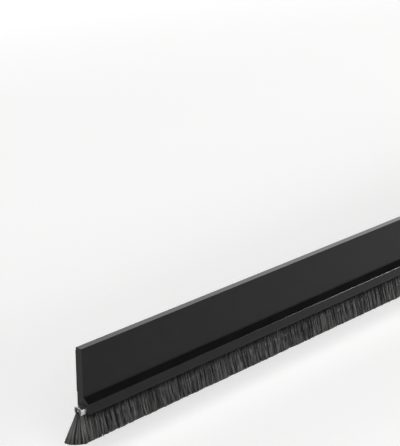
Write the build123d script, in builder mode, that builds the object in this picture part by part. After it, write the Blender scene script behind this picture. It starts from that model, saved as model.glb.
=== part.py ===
from build123d import *

import os
from math import cos, radians, sin

# Door brush seal: an extruded carrier strip with a stick-on flange, and a bristle strip that is
# clipped into the carrier's holder. Millimetres. +X runs along the seal, the front faces -Y and
# +Z is up. The origin is the centre of the tape's face, where the seal meets the door.

# Carrier strip, one extrusion
carrier_length = 914.0
flange_height = 22.9
flange_thickness = 3.8
flange_edge_radius = 0.3
shoulder_drop = 2.4
shoulder_crease_radius = 0.4
holder_edge_radius = 0.5
holder_toe_radius = 0.9
holder_rear_wall = 1.0
holder_front_wall = 1.2
holder_crown_wall = 3.8
lip_thickness = 0.5
lip_radius = 0.25

# Foam tape in a shallow recess in the flange's back
tape_thickness = 1.0
tape_height = 20.0
tape_top_margin = 1.5
tape_recess_depth = 0.7
tape_side_gap = 0.25

# Bristle strip: a folded steel channel crimped on bristles that are bent over a wire
channel_width = 5.0
channel_height = 3.3
channel_sheet = 0.5
channel_corner_radius = 1.4
channel_crimp_height = 1.1
channel_crimp_inset = 0.35
channel_crimp_radius = 0.6
channel_clearance = 0.15
channel_overhang = 3.0
wire_diameter = 1.2
wire_cover = 0.6
bristle_fit = 0.05
wire_fit = 0.03
neck_clearance = 0.15

# Bristle curtain below the channel, in even tufts that fan out at the two cut ends
seal_height = 42.4
front_flare = 3.7
rear_flare = 2.0
end_flare = 7.0
front_turn = 6.0
rear_turn = 82.0
tuft_pitch = 2.4
tuft_ridge = 0.5
bay_tufts = 18
fan_tufts = 10
end_face_tufts = 2

# Levels below the flange's top edge
tape_middle = tape_top_margin + tape_height / 2
pocket_top = flange_height + holder_crown_wall
channel_top = pocket_top + channel_clearance
channel_bottom = channel_top + channel_height
lip_top = channel_bottom + channel_clearance
carrier_bottom = lip_top + lip_thickness
wire_level = channel_top + channel_sheet + wire_cover + wire_diameter / 2

# Distances out from the door
carrier_back = tape_thickness - tape_recess_depth
flange_front = carrier_back + flange_thickness
pocket_width = channel_width + 2 * channel_clearance
pocket_rear = carrier_back + holder_rear_wall
pocket_front = pocket_rear + pocket_width
holder_front = pocket_front + holder_front_wall
strip_middle = pocket_rear + pocket_width / 2

# Bristle strip: whole bays of tufts between two ends that run out into a fan, all at one pitch
strip_length = carrier_length + 2 * channel_overhang
neck_half = channel_width / 2 - channel_crimp_inset - channel_sheet - bristle_fit
end_tufts = bay_tufts + fan_tufts
bay_count = round((strip_length / tuft_pitch - 2 * end_tufts) / bay_tufts)
fitted_pitch = strip_length / (bay_count * bay_tufts + 2 * end_tufts)
bay_length = bay_tufts * fitted_pitch
fan_length = fan_tufts * fitted_pitch
fan_start = strip_length / 2 - fan_length
end_start = fan_start - bay_length


def section_point(out, down):
    """Place a point of the cross-section by its distances out from the door and below the flange's top."""
    return (-out, tape_middle - down)


def section_points(*pairs):
    return [section_point(out, down) for out, down in pairs]


# Carrier: flat flange, sloped shoulder, and a C-shaped holder that opens downwards between two lips
lip_rear_edge = strip_middle - neck_half - neck_clearance
lip_front_edge = strip_middle + neck_half + neck_clearance
recess_top = tape_top_margin - tape_side_gap
recess_bottom = tape_top_margin + tape_height + tape_side_gap
recess_front = carrier_back + tape_recess_depth
pocket_corner_radius = channel_corner_radius + channel_clearance

carrier_corners = [
    (carrier_back, 0, flange_edge_radius),
    (flange_front, 0, flange_edge_radius),
    (flange_front, flange_height, shoulder_crease_radius),
    (holder_front, flange_height + shoulder_drop, holder_edge_radius),
    (holder_front, carrier_bottom, holder_toe_radius),
    (lip_front_edge, carrier_bottom, lip_radius),
    (lip_front_edge, lip_top, lip_radius),
    (pocket_front, lip_top, lip_radius),
    (pocket_front, pocket_top, pocket_corner_radius),
    (pocket_rear, pocket_top, pocket_corner_radius),
    (pocket_rear, lip_top, lip_radius),
    (lip_rear_edge, lip_top, lip_radius),
    (lip_rear_edge, carrier_bottom, lip_radius),
    (carrier_back, carrier_bottom, lip_radius),
    (carrier_back, recess_bottom, 0),
    (recess_front, recess_bottom, 0),
    (recess_front, recess_top, 0),
    (carrier_back, recess_top, 0),
]

with BuildPart() as carrier_profile:
    with BuildSketch(Plane.YZ):
        with BuildLine():
            FilletPolyline(
                *[section_point(out, down) for out, down, radius in carrier_corners],
                radius=[radius for out, down, radius in carrier_corners],
                close=True,
            )
        make_face()
    extrude(amount=carrier_length / 2, both=True)
carrier_profile.part.label = "carrier_profile"


# Foam tape: fills the recess and stands a little proud of the carrier's back
with BuildPart() as adhesive_tape:
    with BuildSketch(Plane.YZ):
        with Locations(section_point(tape_thickness / 2, tape_middle)):
            Rectangle(tape_thickness, tape_height)
    extrude(amount=carrier_length / 2, both=True)
adhesive_tape.part.label = "adhesive_tape"


def channel_outline(inset):
    """Draw the channel's outer face, inset by a distance, with a line across its open foot."""
    half = channel_width / 2 - inset
    feet = half - channel_crimp_inset
    crown = channel_top + inset
    crimp_start = channel_bottom - channel_crimp_height
    corner_radius = channel_corner_radius - inset
    sides = FilletPolyline(
        *section_points(
            (strip_middle - feet, channel_bottom),
            (strip_middle - half, crimp_start),
            (strip_middle - half, crown),
            (strip_middle + half, crown),
            (strip_middle + half, crimp_start),
            (strip_middle + feet, channel_bottom),
        ),
        radius=[channel_crimp_radius, corner_radius, corner_radius, channel_crimp_radius],
    )
    Line(sides @ 1, sides @ 0)


# Channel: one folded steel strip whose feet are crimped in on the bristles
with BuildPart() as brush_channel:
    with BuildSketch(Plane.YZ):
        with BuildLine():
            channel_outline(0)
        make_face()
        with BuildLine():
            channel_outline(channel_sheet)
        make_face(mode=Mode.SUBTRACT)
    extrude(amount=strip_length / 2, both=True)
brush_channel.part.label = "brush_channel"


# Core wire: lies in the bristles' fold along the whole strip
wire_centre = section_point(strip_middle, wire_level)
with BuildPart() as core_wire:
    with BuildSketch(Plane.YZ):
        with Locations(wire_centre):
            Circle(wire_diameter / 2)
    extrude(amount=strip_length / 2, both=True)
core_wire.part.label = "core_wire"


def fan_share(x):
    """How far a tuft has turned towards the strip's end, from 0 where the fan starts to 1."""
    return (max(0, x - fan_start) / fan_length) ** 2


def tuft_rows(x_start, tufts):
    """List the curtain's roots along the front and back along the rear.

    Each root is its x, y and facing angle, and 0 for a groove or 1 for a ridge.
    """
    steps = [(x_start + step * fitted_pitch / 2, step % 2) for step in range(2 * tufts + 1)]
    front = [(x, -strip_middle - neck_half, front_turn * fan_share(x), ridge) for x, ridge in steps]
    rear = [(x, -strip_middle + neck_half, 180 - rear_turn * fan_share(x), ridge) for x, ridge in steps]
    return front, rear[::-1]


def end_face_roots():
    """List the roots across the strip's end, between its two corners."""
    steps = 2 * end_face_tufts
    shares = [step / steps for step in range(1, steps)]
    return [
        (
            strip_length / 2,
            -strip_middle + neck_half * (2 * share - 1),
            front_turn + (180 - front_turn - rear_turn) * share,
            step % 2,
        )
        for step, share in enumerate(shares, start=1)
    ]


def curtain_section(roots, level, spread):
    """Cut the curtain at a level, spread from the neck (0) to the tips (1)."""
    points = []
    for x, y, facing, ridge in roots:
        turn = radians(facing)
        flare = front_flare if cos(turn) > 0 else rear_flare
        x_spread = spread * (end_flare + ridge * tuft_ridge) * sin(turn)
        y_spread = spread * (flare + ridge * tuft_ridge) * cos(turn)
        points.append((x + x_spread, y - y_spread, tape_middle - level))
    return Face(Wire.make_polygon(points))


def curtain_sections(roots):
    return [curtain_section(roots, carrier_bottom, 0), curtain_section(roots, seal_height, 1)]


# Bristles' fold: fills the channel round the wire, with a straight neck down between the lips
with BuildSketch(Plane.YZ) as fold_section:
    with BuildLine():
        channel_outline(channel_sheet + bristle_fit)
    make_face()
    with Locations(section_point(strip_middle, (channel_bottom + carrier_bottom) / 2)):
        Rectangle(2 * neck_half, carrier_bottom - channel_bottom)
    with Locations(wire_centre):
        Circle(wire_diameter / 2 + wire_fit, mode=Mode.SUBTRACT)

# One bay of tufts, repeated along the strip
front_row, rear_row = tuft_rows(-bay_length / 2, bay_tufts)
with BuildPart() as curtain_bay:
    extrude(fold_section.sketch, amount=bay_length / 2, both=True)
    loft(curtain_sections(front_row + rear_row), ruled=True)

# The strip's right end, with its fan
front_row, rear_row = tuft_rows(end_start, end_tufts)
with BuildPart() as curtain_end:
    extrude(Plane.YZ.offset(end_start) * fold_section.sketch_local, amount=bay_length + fan_length)
    loft(curtain_sections(front_row + end_face_roots() + rear_row), ruled=True)

# Bristles: bent over the wire, squeezed in the channel's mouth, and flared in tufts to the tips
ends = [curtain_end.part, curtain_end.part.mirror(Plane.YZ)]
bays = [place * curtain_bay.part for place in GridLocations(bay_length, 0, bay_count, 1)]
with BuildPart() as bristles:
    add(ends + bays)
bristles.part.label = "bristles"


os.makedirs("parts", exist_ok=True)
for piece in (carrier_profile, adhesive_tape, brush_channel, core_wire, bristles):
    export_step(piece.part, f"parts/{piece.part.label}.step")
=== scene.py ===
from math import cos, radians, sin

import bpy
import numpy as np
from mathutils import Matrix, Vector


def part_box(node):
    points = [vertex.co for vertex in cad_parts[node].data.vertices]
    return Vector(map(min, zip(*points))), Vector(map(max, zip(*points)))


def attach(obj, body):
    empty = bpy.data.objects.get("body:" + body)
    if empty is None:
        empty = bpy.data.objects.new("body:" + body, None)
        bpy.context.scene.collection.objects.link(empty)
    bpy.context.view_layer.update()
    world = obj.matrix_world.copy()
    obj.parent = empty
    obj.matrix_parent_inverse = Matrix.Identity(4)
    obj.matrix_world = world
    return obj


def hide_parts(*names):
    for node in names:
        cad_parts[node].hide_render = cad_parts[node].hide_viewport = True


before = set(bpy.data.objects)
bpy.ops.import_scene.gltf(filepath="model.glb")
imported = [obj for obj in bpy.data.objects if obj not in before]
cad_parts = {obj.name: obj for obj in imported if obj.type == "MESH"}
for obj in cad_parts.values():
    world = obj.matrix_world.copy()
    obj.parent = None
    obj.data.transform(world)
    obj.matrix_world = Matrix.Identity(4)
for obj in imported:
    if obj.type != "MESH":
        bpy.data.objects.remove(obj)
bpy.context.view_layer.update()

# Looks of a door brush seal: satin black extrusion, foam tape, galvanised channel, drawn wire and
# trimmed bristles. Metres, in the frame of the CAD model: +X along the seal, -Y the front, +Z up.
MM = 0.001

# Photograph: where the flange's left top corner lies in it, and how the camera looks at the seal
image_size = (400, 446)
corner_pixel = (75.2, 346.7)
focal_pixels = 1392.0
camera_azimuth = radians(-45.52)
camera_elevation = radians(20.29)
camera_distance = 600.7 * MM
camera_clip = 10 * MM

# Carrier: the crease under the flange, which holds dust, and the rubbed rounding of the top edge.
# Each fades out between two distances from its level.
crease_level = -11.4 * MM
crease_fade = (0.22 * MM, 0.30 * MM)
rubbed_fade = (0.30 * MM, 0.34 * MM)

# Grain: how long the marks of each finish are along x, y and z
die_line_grain = (8000 * MM, 0.35 * MM, 0.35 * MM)
mottle_grain = (9 * MM, 5 * MM, 5 * MM)
saw_grain = (0.5 * MM, 0.25 * MM, 3 * MM)
bubble_grain = (0.35 * MM, 0.35 * MM, 0.35 * MM)
patch_grain = (14 * MM, 4 * MM, 6 * MM)
spangle_grain = (1.6 * MM, 0.9 * MM, 0.9 * MM)
rolling_grain = (60 * MM, 0.12 * MM, 0.12 * MM)
drawing_grain = (30 * MM, 0.09 * MM, 0.09 * MM)
packing_grain = (0.3 * MM, 0.3 * MM, 4 * MM)

# Relief: how deep the marks of each finish are
plastic_relief = 0.012 * MM
foam_relief = 0.05 * MM
zinc_relief = 0.006 * MM
wire_relief = 0.005 * MM
inside_relief = 0.2 * MM

# Colours: the two that each finish varies between
skin_colours = ((0.0040, 0.0040, 0.0041), (0.0058, 0.0057, 0.0056))
sawn_colours = ((0.021, 0.020, 0.019), (0.031, 0.030, 0.0285))
foam_colours = ((0.016, 0.016, 0.017), (0.030, 0.029, 0.029))
zinc_colours = ((0.36, 0.37, 0.38), (0.66, 0.67, 0.68))
wire_colours = ((0.20, 0.20, 0.205), (0.42, 0.42, 0.42))
filament_colours = ((0.006, 0.006, 0.006), (0.24, 0.237, 0.232))
# Packed filaments inside the curtain, darkened with painted shade
packed_shade_colours = ((0.003, 0.003, 0.003), (0.012, 0.012, 0.012))
# Painted shade that the filaments darken to under the holder and at their tips
shaded_colour = (0.004, 0.004, 0.004)

# Roughness: a range where it varies
satin_roughness = (0.15, 0.20)
dusty_roughness = 0.7
sawn_roughness = 0.55
foam_roughness = 0.9
tacky_roughness = (0.42, 0.6)
zinc_roughness = (0.22, 0.40)
sheared_roughness = 0.5
wire_roughness = (0.24, 0.4)
cropped_roughness = 0.55
filament_roughness = 0.42
inside_roughness = (0.75, 0.95)

# Contrast: the part of a pattern's values that makes a finish's whole change
sharp_contrast = (0.35, 0.65)
clear_contrast = (0.3, 0.7)
soft_contrast = (0.25, 0.75)
faint_contrast = (0.2, 0.8)
summed_contrast = (0.7, 1.3)

# Zinc: how much of its shade the spangle and the rolling lines make
spangle_share = 0.45
rolling_share = 0.55

# Facing: how squarely a surface faces along an axis where it starts to count, and where it does fully
end_faces = (0.8, 0.95)
flat_top = (0.95, 0.99)

# Painted shade along a filament, from 0 at its root to 1 at its tip: where it leaves the holder's
# shade, and where painted shade darkens its tip
shade_reach = (0.12, 0.75)
shade_light = (0.01, 1.0)
tip_shade_reach = (0.96, 1.0)
tip_shade_light = (1.0, 0.5)

# Bristles: the form of the tufts and fans, and the filaments that they are made of
neck_half = 1.6 * MM
tuft_ridge = 0.5 * MM
front_turn = radians(6)
rear_turn = radians(82)
fan_length = 24 * MM
channel_sheet = 0.5 * MM
filament_radius = 0.085 * MM
filament_sizes = (0.8, 1.2)
filament_sides = 3
root_depth = 0.5 * MM
trim_least = 0.7 * filament_radius
trim_scatter = 0.08 * MM
box_margin = 1.2 * filament_radius
random_seed = 4821

# Bake cells: where a filament's sides and its two caps lie in its cell, as shares of the cell
cell_edge = 0.05
cell_sides = (0.9, 0.7)
cell_cap = ((0.05, 0.8), (0.45, 0.8), (0.25, 0.97))
cell_cap_step = (0.5, 0)

# Curtain: equal stretches, each with layers from front to rear. A layer is its share of the
# filaments and the places across that it fills.
stretch_count = 5
stretch_filaments = 12000
curtain_layers = (
    (0.34, 0.90, 1.0),
    (0.13, 0.45, 0.90),
    (0.10, -0.45, 0.45),
    (0.13, -0.90, -0.45),
    (0.30, -1.0, -0.90),
)

# Clumps and strokes: neighbours that gather, lean and bow together, and strays among them. Widths
# vary by a range of shares, so more clumps are drawn than even ones would need.
clump_width = 0.9 * MM
stroke_width = 0.45 * MM
width_range = (0.45, 1.55)
spare_share = 1.3
spare_clumps = 4
gather_most = 0.12
clump_lean = 0.08 * MM
stroke_lean = 0.09 * MM
stray_usual = 0.18 * MM
stray_wild = 0.8 * MM
wild_share = 0.05
bow_usual = 0.42 * MM
bow_most = 0.8 * MM
bow_own = 0.06 * MM
calm_length = 8 * MM
calm_least = 0.2

# Tones, from 0 for the darkest filament to 1 for the palest: streaks of clumps and of strokes, whose
# random numbers follow a beta distribution, and a painted sheen on each fan's rear at root, middle and
# tip
streak_middle = 0.33
streak_reach = 5
streak_shape = (0.7, 1.2)
streak_whole = 0.75
streak_change = 0.65
clump_tone = 0.65
stroke_tone = 1.05
own_tone = 0.12
end_tone = 1.4
painted_rear_sheen = (1.1, 0.8, 0.4)

# Cut ends: filaments that fan out across the strip's face, in clumps whose reach and width are
# places across, and the share of the holder's painted shade that they miss
end_filaments = 2000
end_depth = 1.6 * MM
end_depth_power = 1.5
end_reach = 1.05
end_clump_reach = 1.1
end_clump_width = 0.11
end_gather = (0.1, 0.4)
end_stray = 0.15 * MM
end_push = (-0.25 * MM, 0.15 * MM)
end_proud = (-0.2, 0.8)
end_bow = 0.1 * MM
end_unshaded = 0.4

# Inner mass, packed filaments darkened with painted shade: its outline as places across and drops,
# from the rear neck round the tips and back, and how far it stays inside the filaments
mass_outline = (
    (-1, -0.04), (-1, 0.3), (-1, 0.7), (-1, 1), (-0.5, 1), (0, 1), (0.5, 1),
    (1, 1), (1, 0.7), (1, 0.3), (1, -0.04), (0.33, -0.04), (-0.33, -0.04),
)
mass_across = 0.90
mass_drop = 0.985
mass_end = 0.7 * MM
mass_step = 0.6 * MM
mass_ripple = 0.12 * MM

# Fold over the wire: filaments in nested loops at each cut end
fold_filaments = 150
fold_points = 15
fold_depth = 0.7 * MM
fold_wobble = 0.02 * MM
fold_overturn = 0.35 * np.pi
fold_clearance = 1.5 * filament_radius
fold_foot_least = 0.25
fold_sizes = (0.85, 1.1)
fold_tones = (0.1, 0.9)

# Stage: white light all round that is dimmer overhead, and a pale floor that fades out
world_light = 0.9
ceiling_light = 0.10
ceiling_range = (sin(radians(25)), sin(radians(31.5)))
floor_drop = 14 * MM
floor_half = 4.0
floor_fade = (0.35, 1.0)
floor_colour = (0.74, 0.74, 0.735)
floor_roughness = 0.9
floor_glow = 0.42
black = (0, 0, 0)
white = (1, 1, 1, 1)

# Lamps: place and size in metres, and power in watts, of a large soft key above the front left, a
# soft rim behind the right and a small kicker at the right
lamps = {
    "key": ((-1.2, -1.1, 1.6), 1.8, 22.0),
    "rim": ((1.3, 1.6, 1.0), 1.6, 10.5),
    "kicker": ((0.905, -0.98, 0.31), 0.28, 13.0),
}

# Sizes read from the frame
carrier_low, carrier_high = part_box("carrier_profile")
strip_low, strip_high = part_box("brush_channel")
wire_low, wire_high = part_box("core_wire")
bristle_low, bristle_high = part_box("bristles")
strip_end = strip_high.x
strip_middle = (wire_low.y + wire_high.y) / 2
neck_level = carrier_low.z
tip_level = bristle_low.z
curtain_height = neck_level - tip_level
front_flare = strip_middle - neck_half - bristle_low.y - tuft_ridge
rear_flare = bristle_high.y - strip_middle - neck_half - tuft_ridge
end_flare = bristle_high.x - strip_end - tuft_ridge


def add_object(name, data):
    """Put a mesh, lamp or camera in the scene."""
    added = bpy.data.objects.new(name, data)
    bpy.context.scene.collection.objects.link(added)
    return added


# Camera
def camera_axes():
    """Right, up and back directions of the photograph's camera."""
    level = Vector((sin(camera_azimuth), -cos(camera_azimuth), 0))
    back = level * cos(camera_elevation) + Vector((0, 0, sin(camera_elevation)))
    right = Vector((cos(camera_azimuth), sin(camera_azimuth), 0))
    return right, back.cross(right), back


def make_camera():
    """A camera that sees the flange's left top corner at its pixel."""
    right, up, back = camera_axes()
    corner = Vector((carrier_low.x, 0, carrier_high.z))
    metres_per_pixel = camera_distance / focal_pixels
    across = (corner_pixel[0] - image_size[0] / 2) * metres_per_pixel
    above = (image_size[1] / 2 - corner_pixel[1]) * metres_per_pixel
    place = corner + back * camera_distance - right * across - up * above
    turn = Matrix((right, up, back)).transposed().to_4x4()
    data = bpy.data.cameras.new("photo_camera")
    data.lens = data.sensor_width * focal_pixels / max(image_size)
    data.clip_start = camera_clip
    camera = add_object("photo_camera", data)
    camera.matrix_world = Matrix.Translation(place) @ turn
    bpy.context.scene.camera = camera


# Nodes
class Nodes:
    """The nodes of a material or world, with short calls for those that feed its shader."""

    def __init__(self, owner, shader):
        owner.use_nodes = True
        self.tree = owner.node_tree
        self.shader = self.tree.nodes[shader]

    def add(self, kind, **settings):
        """A new node with its settings."""
        node = self.tree.nodes.new(kind)
        for setting, value in settings.items():
            setattr(node, setting, value)
        return node

    def put(self, value, socket):
        """Give a socket a constant or another node's output."""
        if isinstance(value, bpy.types.NodeSocket):
            self.tree.links.new(value, socket)
        else:
            socket.default_value = value

    def feed(self, name, value):
        """Give one of the shader's sockets a constant or another node's output."""
        self.put(value, self.shader.inputs[name])

    def math(self, operation, first, second=0.0):
        node = self.add("ShaderNodeMath", operation=operation)
        self.put(first, node.inputs[0])
        self.put(second, node.inputs[1])
        return node.outputs[0]

    def scaled(self, vector, scale):
        """A vector, scaled on each axis."""
        node = self.add("ShaderNodeVectorMath", operation="MULTIPLY")
        self.put(vector, node.inputs[0])
        self.put(scale, node.inputs[1])
        return node.outputs[0]

    def part(self, vector, axis):
        """A vector's part along X, Y or Z."""
        node = self.add("ShaderNodeSeparateXYZ")
        self.put(vector, node.inputs[0])
        return node.outputs[axis]

    def ramp(self, value, old_range, new_range=(0.0, 1.0), shape="LINEAR"):
        """A value mapped from one range to another, and held at its ends."""
        node = self.add("ShaderNodeMapRange", interpolation_type=shape)
        for socket, number in zip(node.inputs[1:5], (*old_range, *new_range)):
            self.put(number, socket)
        self.put(value, node.inputs[0])
        return node.outputs[0]

    def between(self, share, first, second):
        """Number between first and second, each a number or another node's output."""
        node = self.add("ShaderNodeMix")
        self.put(share, node.inputs["Factor"])
        self.put(first, node.inputs[2])
        self.put(second, node.inputs[3])
        return node.outputs[0]

    def blend(self, share, first, second):
        """Colour between first and second, each a colour or another node's output."""
        node = self.add("ShaderNodeMix", data_type="RGBA")
        self.put(share, node.inputs["Factor"])
        for socket, colour in zip(node.inputs[6:8], (first, second)):
            self.put((*colour, 1.0) if isinstance(colour, tuple) else colour, socket)
        return node.outputs[2]

    def background_rays(self):
        """1 for camera, glossy and transmission rays, which see the background white."""
        path = self.add("ShaderNodeLightPath").outputs
        seen = self.math("MAXIMUM", path["Is Camera Ray"], path["Is Glossy Ray"])
        return self.math("MAXIMUM", seen, path["Is Transmission Ray"])


class Finish(Nodes):
    """A material with one Principled shader, and the patterns that lie on its surface."""

    def __init__(self, name, **constants):
        self.material = bpy.data.materials.new(name)
        super().__init__(self.material, "Principled BSDF")
        for socket, value in constants.items():
            self.feed(socket.replace("_", " "), value)
        self.place = self.add("ShaderNodeTexCoord").outputs["Object"]
        self.normal = self.add("ShaderNodeNewGeometry").outputs["Normal"]

    def pattern(self, kind, grain):
        """A texture whose marks are as long as grain says on each axis."""
        node = self.add(kind)
        self.put(1.0, node.inputs["Scale"])
        self.put(self.scaled(self.place, [1 / length for length in grain]), node.inputs["Vector"])
        return node

    def noise(self, grain, detail=3.0):
        node = self.pattern("ShaderNodeTexNoise", grain)
        self.put(detail, node.inputs["Detail"])
        return node.outputs["Fac"]

    def cells(self, grain, output):
        """Cells, as the distance from each one's middle or as a colour of its own."""
        return self.pattern("ShaderNodeTexVoronoi", grain).outputs[output]

    def facing(self, axis, counts=end_faces):
        """1 where the surface faces along an axis, either way."""
        return self.ramp(self.math("ABSOLUTE", self.part(self.normal, axis)), counts)

    def near_level(self, level, fade):
        """1 near a height, down to 0 away from it."""
        away = self.math("ABSOLUTE", self.math("SUBTRACT", self.part(self.place, "Z"), level))
        return self.ramp(away, fade, (1.0, 0.0))

    def attribute(self, name):
        return self.add("ShaderNodeAttribute", attribute_name=name).outputs["Fac"]

    def bump(self, height, distance):
        node = self.add("ShaderNodeBump")
        self.put(distance, node.inputs["Distance"])
        self.put(height, node.inputs["Height"])
        self.feed("Normal", node.outputs[0])


# Materials
def extruded_plastic():
    """Satin black plastic with die lines along the seal and a duller, paler saw cut at the ends."""
    finish = Finish("extruded_plastic", IOR=1.26)
    die_lines = finish.noise(die_line_grain, detail=4)
    mottle = finish.noise(mottle_grain, detail=4)
    saw_marks = finish.noise(saw_grain)
    cut = finish.facing("X")
    skin = finish.blend(finish.ramp(mottle, sharp_contrast), *skin_colours)
    sawn = finish.blend(finish.ramp(saw_marks, clear_contrast), *sawn_colours)
    finish.feed("Base Color", finish.blend(cut, skin, sawn))
    satin = finish.ramp(finish.math("ADD", die_lines, mottle), summed_contrast, satin_roughness)
    crease = finish.near_level(crease_level, crease_fade)
    top_edge = finish.near_level(carrier_high.z, rubbed_fade)
    rounding = finish.math("SUBTRACT", 1.0, finish.facing("Z", flat_top))
    worn = finish.math("MAXIMUM", crease, finish.math("MULTIPLY", top_edge, rounding))
    skin_roughness = finish.between(worn, satin, dusty_roughness)
    finish.feed("Roughness", finish.between(cut, skin_roughness, sawn_roughness))
    finish.bump(finish.between(cut, die_lines, saw_marks), plastic_relief)
    return finish.material


def foam_tape():
    """Black closed-cell foam with a tacky face."""
    finish = Finish("foam_tape", IOR=1.4)
    patches = finish.noise(patch_grain, detail=4)
    tacky = finish.ramp(patches, sharp_contrast, tacky_roughness)
    finish.feed("Base Color", finish.blend(finish.ramp(patches, clear_contrast), *foam_colours))
    finish.feed("Roughness", finish.between(finish.facing("Y"), foam_roughness, tacky))
    finish.bump(finish.cells(bubble_grain, "Distance"), foam_relief)
    return finish.material


def galvanised_steel():
    """Zinc-coated sheet: spangle, rolling lines along the strip and a rougher sheared end."""
    finish = Finish("galvanised_steel", Metallic=1.0)
    spangle = finish.math("MULTIPLY", finish.cells(spangle_grain, "Color"), spangle_share)
    rolled = finish.noise(rolling_grain)
    shade = finish.math("ADD", spangle, finish.math("MULTIPLY", rolled, rolling_share))
    sheet = finish.ramp(shade, faint_contrast, zinc_roughness)
    finish.feed("Base Color", finish.blend(finish.ramp(shade, soft_contrast), *zinc_colours))
    finish.feed("Roughness", finish.between(finish.facing("X"), sheet, sheared_roughness))
    finish.bump(rolled, zinc_relief)
    return finish.material


def drawn_wire():
    """Dull steel wire with drawing lines along it and a rougher cropped end."""
    finish = Finish("drawn_wire", Metallic=1.0)
    drawn = finish.noise(drawing_grain)
    side = finish.ramp(drawn, clear_contrast, wire_roughness)
    finish.feed("Base Color", finish.blend(finish.ramp(drawn, clear_contrast), *wire_colours))
    finish.feed("Roughness", finish.between(finish.facing("X"), side, cropped_roughness))
    finish.bump(drawn, wire_relief)
    return finish.material


def bristle_plastic():
    """Black filaments: each has its own tones, with painted shade under the holder and at its cut tip.
    """
    finish = Finish("bristle_plastic", IOR=1.45, Roughness=filament_roughness)
    along = finish.attribute("along")
    # Painted shade: darker from the root under the holder, and at the tip
    out_of_shade = finish.ramp(along, shade_reach, shade_light)
    tip_shade = finish.ramp(along, tip_shade_reach, tip_shade_light)
    lit = finish.math("MULTIPLY", out_of_shade, tip_shade)
    filament = finish.blend(finish.attribute("tone"), *filament_colours)
    finish.feed("Base Color", finish.blend(lit, shaded_colour, filament))
    return finish.material


def bristle_shade():
    """The inside of the curtain: packed filaments, darkened with painted shade."""
    finish = Finish("bristle_shade", IOR=1.3)
    packed = finish.noise(packing_grain, detail=4)
    finish.feed("Base Color", finish.blend(finish.ramp(packed, clear_contrast), *packed_shade_colours))
    finish.feed("Roughness", finish.ramp(packed, clear_contrast, inside_roughness))
    finish.bump(packed, inside_relief)
    return finish.material


def finish_cad_nodes():
    looks = {
        "carrier_profile": extruded_plastic(),
        "adhesive_tape": foam_tape(),
        "brush_channel": galvanised_steel(),
        "core_wire": drawn_wire(),
    }
    for node, material in looks.items():
        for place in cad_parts[node].material_slots:
            place.material = material


# Bristles
def curtain_place(root, across, drop):
    """Where the curtain's point lies.

    root is its x at the neck, across is -1 at the rear and 1 at the front, and drop is 0 at the
    neck and 1 at the tips. Above the neck, drop is negative and the bristles run straight.
    """
    into_fan = np.clip((np.abs(root) - strip_end + fan_length) / fan_length, 0, 1) ** 2
    side_turn = into_fan * np.where(across > 0, front_turn, rear_turn)
    end_facing = front_turn + (np.pi - front_turn - rear_turn) * (1 - across) / 2
    end_flare_out = np.where(end_facing < np.pi / 2, front_flare, rear_flare)
    face_share = into_fan**3
    spread = np.maximum(drop, 0)
    sideways = (1 - face_share) * np.sin(side_turn) + face_share * np.sin(end_facing)
    side_flare = across * np.where(across > 0, front_flare, rear_flare) * np.cos(side_turn)
    outwards = (1 - face_share) * side_flare + face_share * end_flare_out * np.cos(end_facing)
    x = root + np.sign(root) * spread * end_flare * sideways
    y = strip_middle - across * neck_half - spread * outwards
    z = neck_level - drop * curtain_height
    return np.stack(np.broadcast_arrays(x, y, z), axis=-1)


def clumps(rng, places, low, high, width):
    """Share places between neighbouring clumps, and give each one's clump number and its middle."""
    enough = int(spare_share * (high - low) / width) + spare_clumps
    widths = rng.uniform(*width_range, enough) * width
    edges = low - width + np.cumsum(widths)
    number = np.searchsorted(edges, places)
    middles = edges - widths / 2
    return number, middles[number]


def streak_tones(rng, count):
    """How much paler or darker each streak is than those around it, at its root, middle and tip."""
    own = rng.beta(*streak_shape, (count, 3))
    tone = streak_whole * own[:, :1] + streak_change * own
    window = np.full(streak_reach, 1 / streak_reach)
    around = [np.convolve(column, window, "same") for column in tone.T]
    return tone - np.stack(around, axis=-1)


def away_from_end(root, length, least=0.0):
    """Share from least up to 1 that grows over a length from the strip's nearer end."""
    return np.clip((strip_end - np.abs(root)) / length, least, 1)


def side_filaments(rng, low, high, count):
    """Filaments of one stretch, as one array for each of these.

    Root x, place across, how far the tip leaves its even place along x, how far it stands proud in
    tuft ridges, three tones, the bow along x and y, and the share of the painted shade that it misses.
    """
    found = []
    for share, rearmost, foremost in curtain_layers:
        number = round(share * count)
        root = rng.uniform(low, high, number)
        across = rng.uniform(rearmost, foremost, number)
        clump, middle = clumps(rng, root, low, high, clump_width)
        clump_count = clump.max() + 1
        gather = rng.uniform(0.0, gather_most, clump_count)[clump]
        lean = rng.normal(0, clump_lean, clump_count)[clump]
        stroke, _ = clumps(rng, root, low, high, stroke_width)
        stroke_count = stroke.max() + 1
        lean = lean + rng.normal(0, stroke_lean, stroke_count)[stroke]
        stray = rng.normal(0, 1, number)
        stray = stray * np.where(rng.random(number) < wild_share, stray_wild, stray_usual)
        proud = rng.uniform(0.0, 1.0, clump_count)[clump]
        tone = streak_middle + clump_tone * streak_tones(rng, clump_count)[clump]
        tone = tone + stroke_tone * streak_tones(rng, stroke_count)[stroke]
        bow = np.clip(rng.normal(0, bow_usual, (stroke_count, 2)), -bow_most, bow_most)[stroke]
        bow = bow * away_from_end(root, calm_length, calm_least)[:, None]
        together = ((middle - root) * gather + lean) * away_from_end(root, fan_length)
        unshaded = np.where(np.abs(root) > carrier_high.x, end_unshaded, 0.0)
        found.append((root, across, together + stray, proud, tone, bow, unshaded))
    return [np.concatenate(values) for values in zip(*found)]


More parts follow.
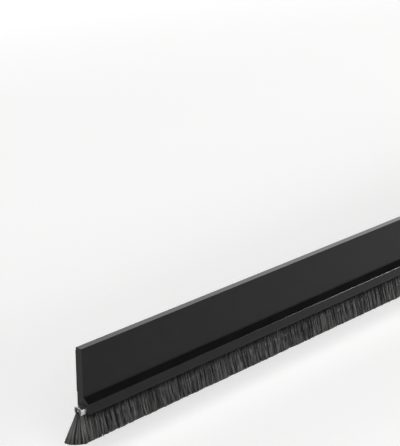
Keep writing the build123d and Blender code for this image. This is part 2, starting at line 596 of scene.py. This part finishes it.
def end_face_filaments(rng, side, count):
    """Filaments of one cut end, -1 the left or 1 the right, as the arrays of side_filaments."""
    across = np.clip(rng.uniform(-end_reach, end_reach, count), -1, 1)
    depth = end_depth * rng.random(count) ** end_depth_power
    clump, middle = clumps(rng, across, -end_clump_reach, end_clump_reach, end_clump_width)
    clump_count = clump.max() + 1
    across = across + (middle - across) * rng.uniform(*end_gather, clump_count)[clump]
    push = rng.normal(0, end_stray, count) + rng.uniform(*end_push, clump_count)[clump]
    proud = rng.uniform(*end_proud, clump_count)[clump]
    rear = np.clip(-across, 0, 1)[:, None]
    # Painted sheen: the rear side of each fan is paler, most at the root
    tone = streak_middle + end_tone * streak_tones(rng, clump_count)[clump] + rear * painted_rear_sheen
    bow = rng.normal(0, end_bow, (clump_count, 2))[clump]
    unshaded = np.full(count, end_unshaded)
    return side * (strip_end - depth), across, side * push, proud, tone, bow, unshaded


def filament_paths(rng, root, across, push, proud, tone, bow):
    """Three points along each filament, held inside the bristles' box, with their tones."""
    count = len(root)
    trim = trim_least + rng.random(count) ** 2 * trim_scatter
    top = curtain_place(root, across, np.full(count, -root_depth / curtain_height))
    middle = curtain_place(root, across, np.full(count, 0.5))
    tip = curtain_place(root, across, 1 - trim / curtain_height)
    ridge = proud * tuft_ridge * across
    bow = bow + rng.normal(0, bow_own, (count, 2))
    middle[:, 0] += 0.5 * push + bow[:, 0]
    middle[:, 1] -= 0.5 * ridge + bow[:, 1]
    tip[:, 0] += push
    tip[:, 1] -= ridge
    low = np.array(bristle_low)[:2] + box_margin
    high = np.array(bristle_high)[:2] - box_margin
    for points in (middle, tip):
        points[:, :2] = np.clip(points[:, :2], low, high)
    tone = np.clip(tone + rng.normal(0, own_tone, (count, 1)), 0, 1)
    return np.stack([top, middle, tip], axis=1), tone


def tube_mesh(name, paths, radius, tone, unshaded, rng):
    """One mesh of a closed tube along each path, with the attributes that its material follows.

    All paths have as many points. Each tube has its radius, its tone or one for each point, and the
    share of the painted shade that it misses.
    """
    count, rings = paths.shape[:2]
    sides = np.arange(filament_sides)
    corner = rng.uniform(0, 2 * np.pi, count)[:, None] + sides * (2 * np.pi / filament_sides)
    heading = np.gradient(paths, axis=1)
    heading /= np.linalg.norm(heading, axis=2, keepdims=True)
    aside = np.cross(heading, (1.0, 0.0, 0.0))
    aside /= np.linalg.norm(aside, axis=2, keepdims=True)
    other = np.cross(heading, aside)
    ring = (
        aside[:, :, None] * np.cos(corner)[:, None, :, None]
        + other[:, :, None] * np.sin(corner)[:, None, :, None]
    )
    points = paths[:, :, None] + ring * np.reshape(radius, (-1, 1, 1, 1))

    ring_start = np.arange(rings - 1)[:, None] * filament_sides
    here = ring_start + sides
    beside = ring_start + (sides + 1) % filament_sides
    above = (here + filament_sides, beside + filament_sides)
    quads = np.stack([here, *above, beside], axis=-1).reshape(-1, 4)
    caps = np.stack([sides, filament_sides * (rings - 1) + sides[::-1]])
    tube_start = (np.arange(count) * filament_sides * rings)[:, None, None]
    faces = (quads + tube_start).reshape(-1, 4).tolist()
    faces += (caps + tube_start).reshape(-1, filament_sides).tolist()

    mesh = bpy.data.meshes.new(name)
    mesh.from_pydata(points.reshape(-1, 3), [], faces)
    # along starts from each filament's share of the holder's painted shade that it misses
    along = unshaded[:, None] + (1 - unshaded[:, None]) * np.linspace(0, 1, rings)
    for label, values in (("along", along), ("tone", tone)):
        at_points = np.broadcast_to(values[:, :, None], points.shape[:3]).astype(np.float32)
        mesh.attributes.new(label, "FLOAT", "POINT").data.foreach_set("value", at_points.ravel())
    lay_out_cells(mesh, count, rings)
    mesh.shade_smooth()
    mesh.validate()
    return mesh


def lay_out_cells(mesh, count, rings):
    """Give each tube a cell of its own in the map that a bake uses: its sides below, its caps above."""
    columns = int(np.ceil(np.sqrt(count)))
    cell = np.stack([np.arange(count) % columns, np.arange(count) // columns], axis=-1) / columns
    segment, side = np.indices((rings - 1, filament_sides)).reshape(2, -1)
    wide = cell_sides[0] / filament_sides
    tall = cell_sides[1] / (rings - 1)
    left, right = cell_edge + wide * side, cell_edge + wide * (side + 1)
    foot, head = cell_edge + tall * segment, cell_edge + tall * (segment + 1)
    quads = np.stack([left, foot, left, head, right, head, right, foot], axis=-1).reshape(-1, 4, 2)
    caps = np.stack([cell_cap, np.add(cell_cap, cell_cap_step)])
    spots = [(cell[:, None, None] + shape / columns).reshape(-1) for shape in (quads, caps)]
    mesh.uv_layers.new(name="OFBake").uv.foreach_set("vector", np.concatenate(spots).astype(np.float32))


def add_bristle_piece(name, mesh, material):
    mesh.materials.append(material)
    piece = add_object(name, mesh)
    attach(piece, "root")
    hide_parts("bristles")


def make_curtain(material):
    """The bristles below the carrier, in equal stretches of the strip."""
    rng = np.random.default_rng(random_seed)
    stretch = 2 * strip_end / stretch_count
    for index in range(stretch_count):
        low = -strip_end + index * stretch
        kinds = [side_filaments(rng, low, low + stretch, stretch_filaments)]
        if index == 0:
            kinds.append(end_face_filaments(rng, -1, end_filaments))
        if index == stretch_count - 1:
            kinds.append(end_face_filaments(rng, 1, end_filaments))
        *forms, unshaded = [np.concatenate(values) for values in zip(*kinds)]
        paths, tone = filament_paths(rng, *forms)
        radius = filament_radius * rng.uniform(*filament_sizes, len(tone))
        mesh = tube_mesh("filaments", paths, radius, tone, unshaded, rng)
        add_bristle_piece(f"bristle_curtain_{index + 1}", mesh, material)


def ring_mesh(name, rings):
    """A closed mesh along rings that all have as many points, capped flat at both ends."""
    count, around = rings.shape[:2]
    ring_start = np.arange(count - 1)[:, None] * around
    here = ring_start + np.arange(around)
    beside = ring_start + (np.arange(around) + 1) % around
    quads = np.stack([here, beside, beside + around, here + around], axis=-1).reshape(-1, 4).tolist()
    first = list(range(around))[::-1]
    last = [(count - 1) * around + point for point in range(around)]
    mesh = bpy.data.meshes.new(name)
    mesh.from_pydata(rings.reshape(-1, 3), [], quads + [first, last])
    mesh.validate()
    return mesh


def make_mass(material):
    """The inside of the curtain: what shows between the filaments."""
    # A dark sheet of painted shade that stands for the shaded inside of the packed filaments
    rng = np.random.default_rng(random_seed + 1)
    reach = strip_end - mass_end
    roots = np.linspace(-reach, reach, round(2 * reach / mass_step))
    across, drop = np.array(mass_outline).T
    shape = (len(roots), len(mass_outline))
    across = np.broadcast_to(mass_across * across, shape)
    drop = np.broadcast_to(mass_drop * drop, shape)
    rings = curtain_place(np.broadcast_to(roots[:, None], shape), across, drop)
    ripple = rng.uniform(-1, 1, rings.shape) * mass_ripple * np.clip(drop, 0, 1)[:, :, None]
    ripple[:, :, 0] = 0
    add_bristle_piece("bristle_mass", ring_mesh("bristle_mass", rings + ripple), material)


def fold_paths(rng, side):
    """Loops over the wire at one cut end, from one foot of the channel to the other."""
    share = rng.random(fold_filaments)
    wire_radius = (wire_high.y - wire_low.y) / 2
    wire_level = (wire_low.z + wire_high.z) / 2
    inside_half = (strip_high.y - strip_low.y) / 2 - channel_sheet - filament_radius
    nearest = wire_radius + fold_clearance
    above = nearest + share * (strip_high.z - channel_sheet - filament_radius - wire_level - nearest)
    beside = nearest + share * (inside_half - nearest)
    foot = (neck_half - filament_radius) * (fold_foot_least + (1 - fold_foot_least) * share)
    x = side * (strip_end - filament_radius - fold_depth * rng.random(fold_filaments))
    turn = np.linspace(-fold_overturn, np.pi + fold_overturn, fold_points)[None, :]
    arch = np.clip(np.sin(turn), 0, 1)
    leg = np.clip(-np.sin(turn), 0, 1) / sin(fold_overturn)
    width = beside[:, None] + (foot - beside)[:, None] * leg**2
    y = strip_middle + np.sign(np.cos(turn)) * width * np.where(leg > 0, 1, np.abs(np.cos(turn)))
    z = wire_level + above[:, None] * arch + (strip_low.z - wire_level) * leg
    x = np.broadcast_to(x[:, None], y.shape) + rng.normal(0, fold_wobble, y.shape)
    return np.stack([x, y, z], axis=-1)


def make_folds(material):
    """The filaments' loops over the wire that show at both cut ends."""
    rng = np.random.default_rng(random_seed + 2)
    for name, side in (("left", -1), ("right", 1)):
        paths = fold_paths(rng, side)
        tone = rng.uniform(*fold_tones, (len(paths), 1))
        radius = filament_radius * rng.uniform(*fold_sizes, len(paths))
        mesh = tube_mesh("fold", paths, radius, tone, np.zeros(len(paths)), rng)
        add_bristle_piece(f"bristle_fold_{name}", mesh, material)


# Stage
def make_world():
    """White light all round, dimmer overhead, that the camera sees as a white background."""
    world = bpy.data.worlds.new("studio")
    bpy.context.scene.world = world
    sky = Nodes(world, "Background")
    strength = sky.between(sky.background_rays(), world_light, 1.0)
    height = sky.part(sky.add("ShaderNodeTexCoord").outputs["Generated"], "Z")
    overhead = sky.ramp(height, ceiling_range, (1.0, ceiling_light), "SMOOTHSTEP")
    camera_ray = sky.add("ShaderNodeLightPath").outputs["Is Camera Ray"]
    shown = sky.math("MAXIMUM", overhead, camera_ray)
    sky.feed("Color", white)
    sky.feed("Strength", sky.math("MULTIPLY", shown, strength))


def pale_floor():
    """Pale paint that fades into the white background away from the seal."""
    finish = Finish("pale_floor", Roughness=floor_roughness, Emission_Color=white)
    fade_start = floor_fade[0]
    squeezed = finish.scaled(finish.place, (fade_start / (strip_end + fade_start), 1, 0))
    length = finish.add("ShaderNodeVectorMath", operation="LENGTH")
    finish.put(squeezed, length.inputs[0])
    away = finish.ramp(length.outputs["Value"], floor_fade, shape="SMOOTHSTEP")
    glow = finish.ramp(away, (0.0, 1.0), (floor_glow, 1.0))
    finish.feed("Base Color", finish.blend(away, floor_colour, black))
    finish.feed("Emission Strength", finish.math("MULTIPLY", finish.background_rays(), glow))
    return finish.material


def make_floor():
    level = tip_level - floor_drop
    signs = ((-1, -1), (1, -1), (1, 1), (-1, 1))
    mesh = bpy.data.meshes.new("floor")
    mesh.from_pydata([(x * floor_half, y * floor_half, level) for x, y in signs], [], [(0, 1, 2, 3)])
    mesh.materials.append(pale_floor())
    add_object("floor", mesh)


def make_lamps():
    """Square lamps that all point at the middle of the seal's left half."""
    target = Vector((carrier_low.x / 2, 0, 0))
    for name, (place, size, power) in lamps.items():
        data = bpy.data.lights.new(name, "AREA")
        data.size = size
        data.energy = power
        lamp = add_object(name, data)
        lamp.location = place
        lamp.rotation_euler = (target - Vector(place)).to_track_quat("-Z", "Y").to_euler()


make_camera()
make_world()
make_floor()
make_lamps()
finish_cad_nodes()
filaments = bristle_plastic()
make_curtain(filaments)
make_folds(filaments)
make_mass(bristle_shade())
bpy.context.scene.view_settings.view_transform = "Standard"
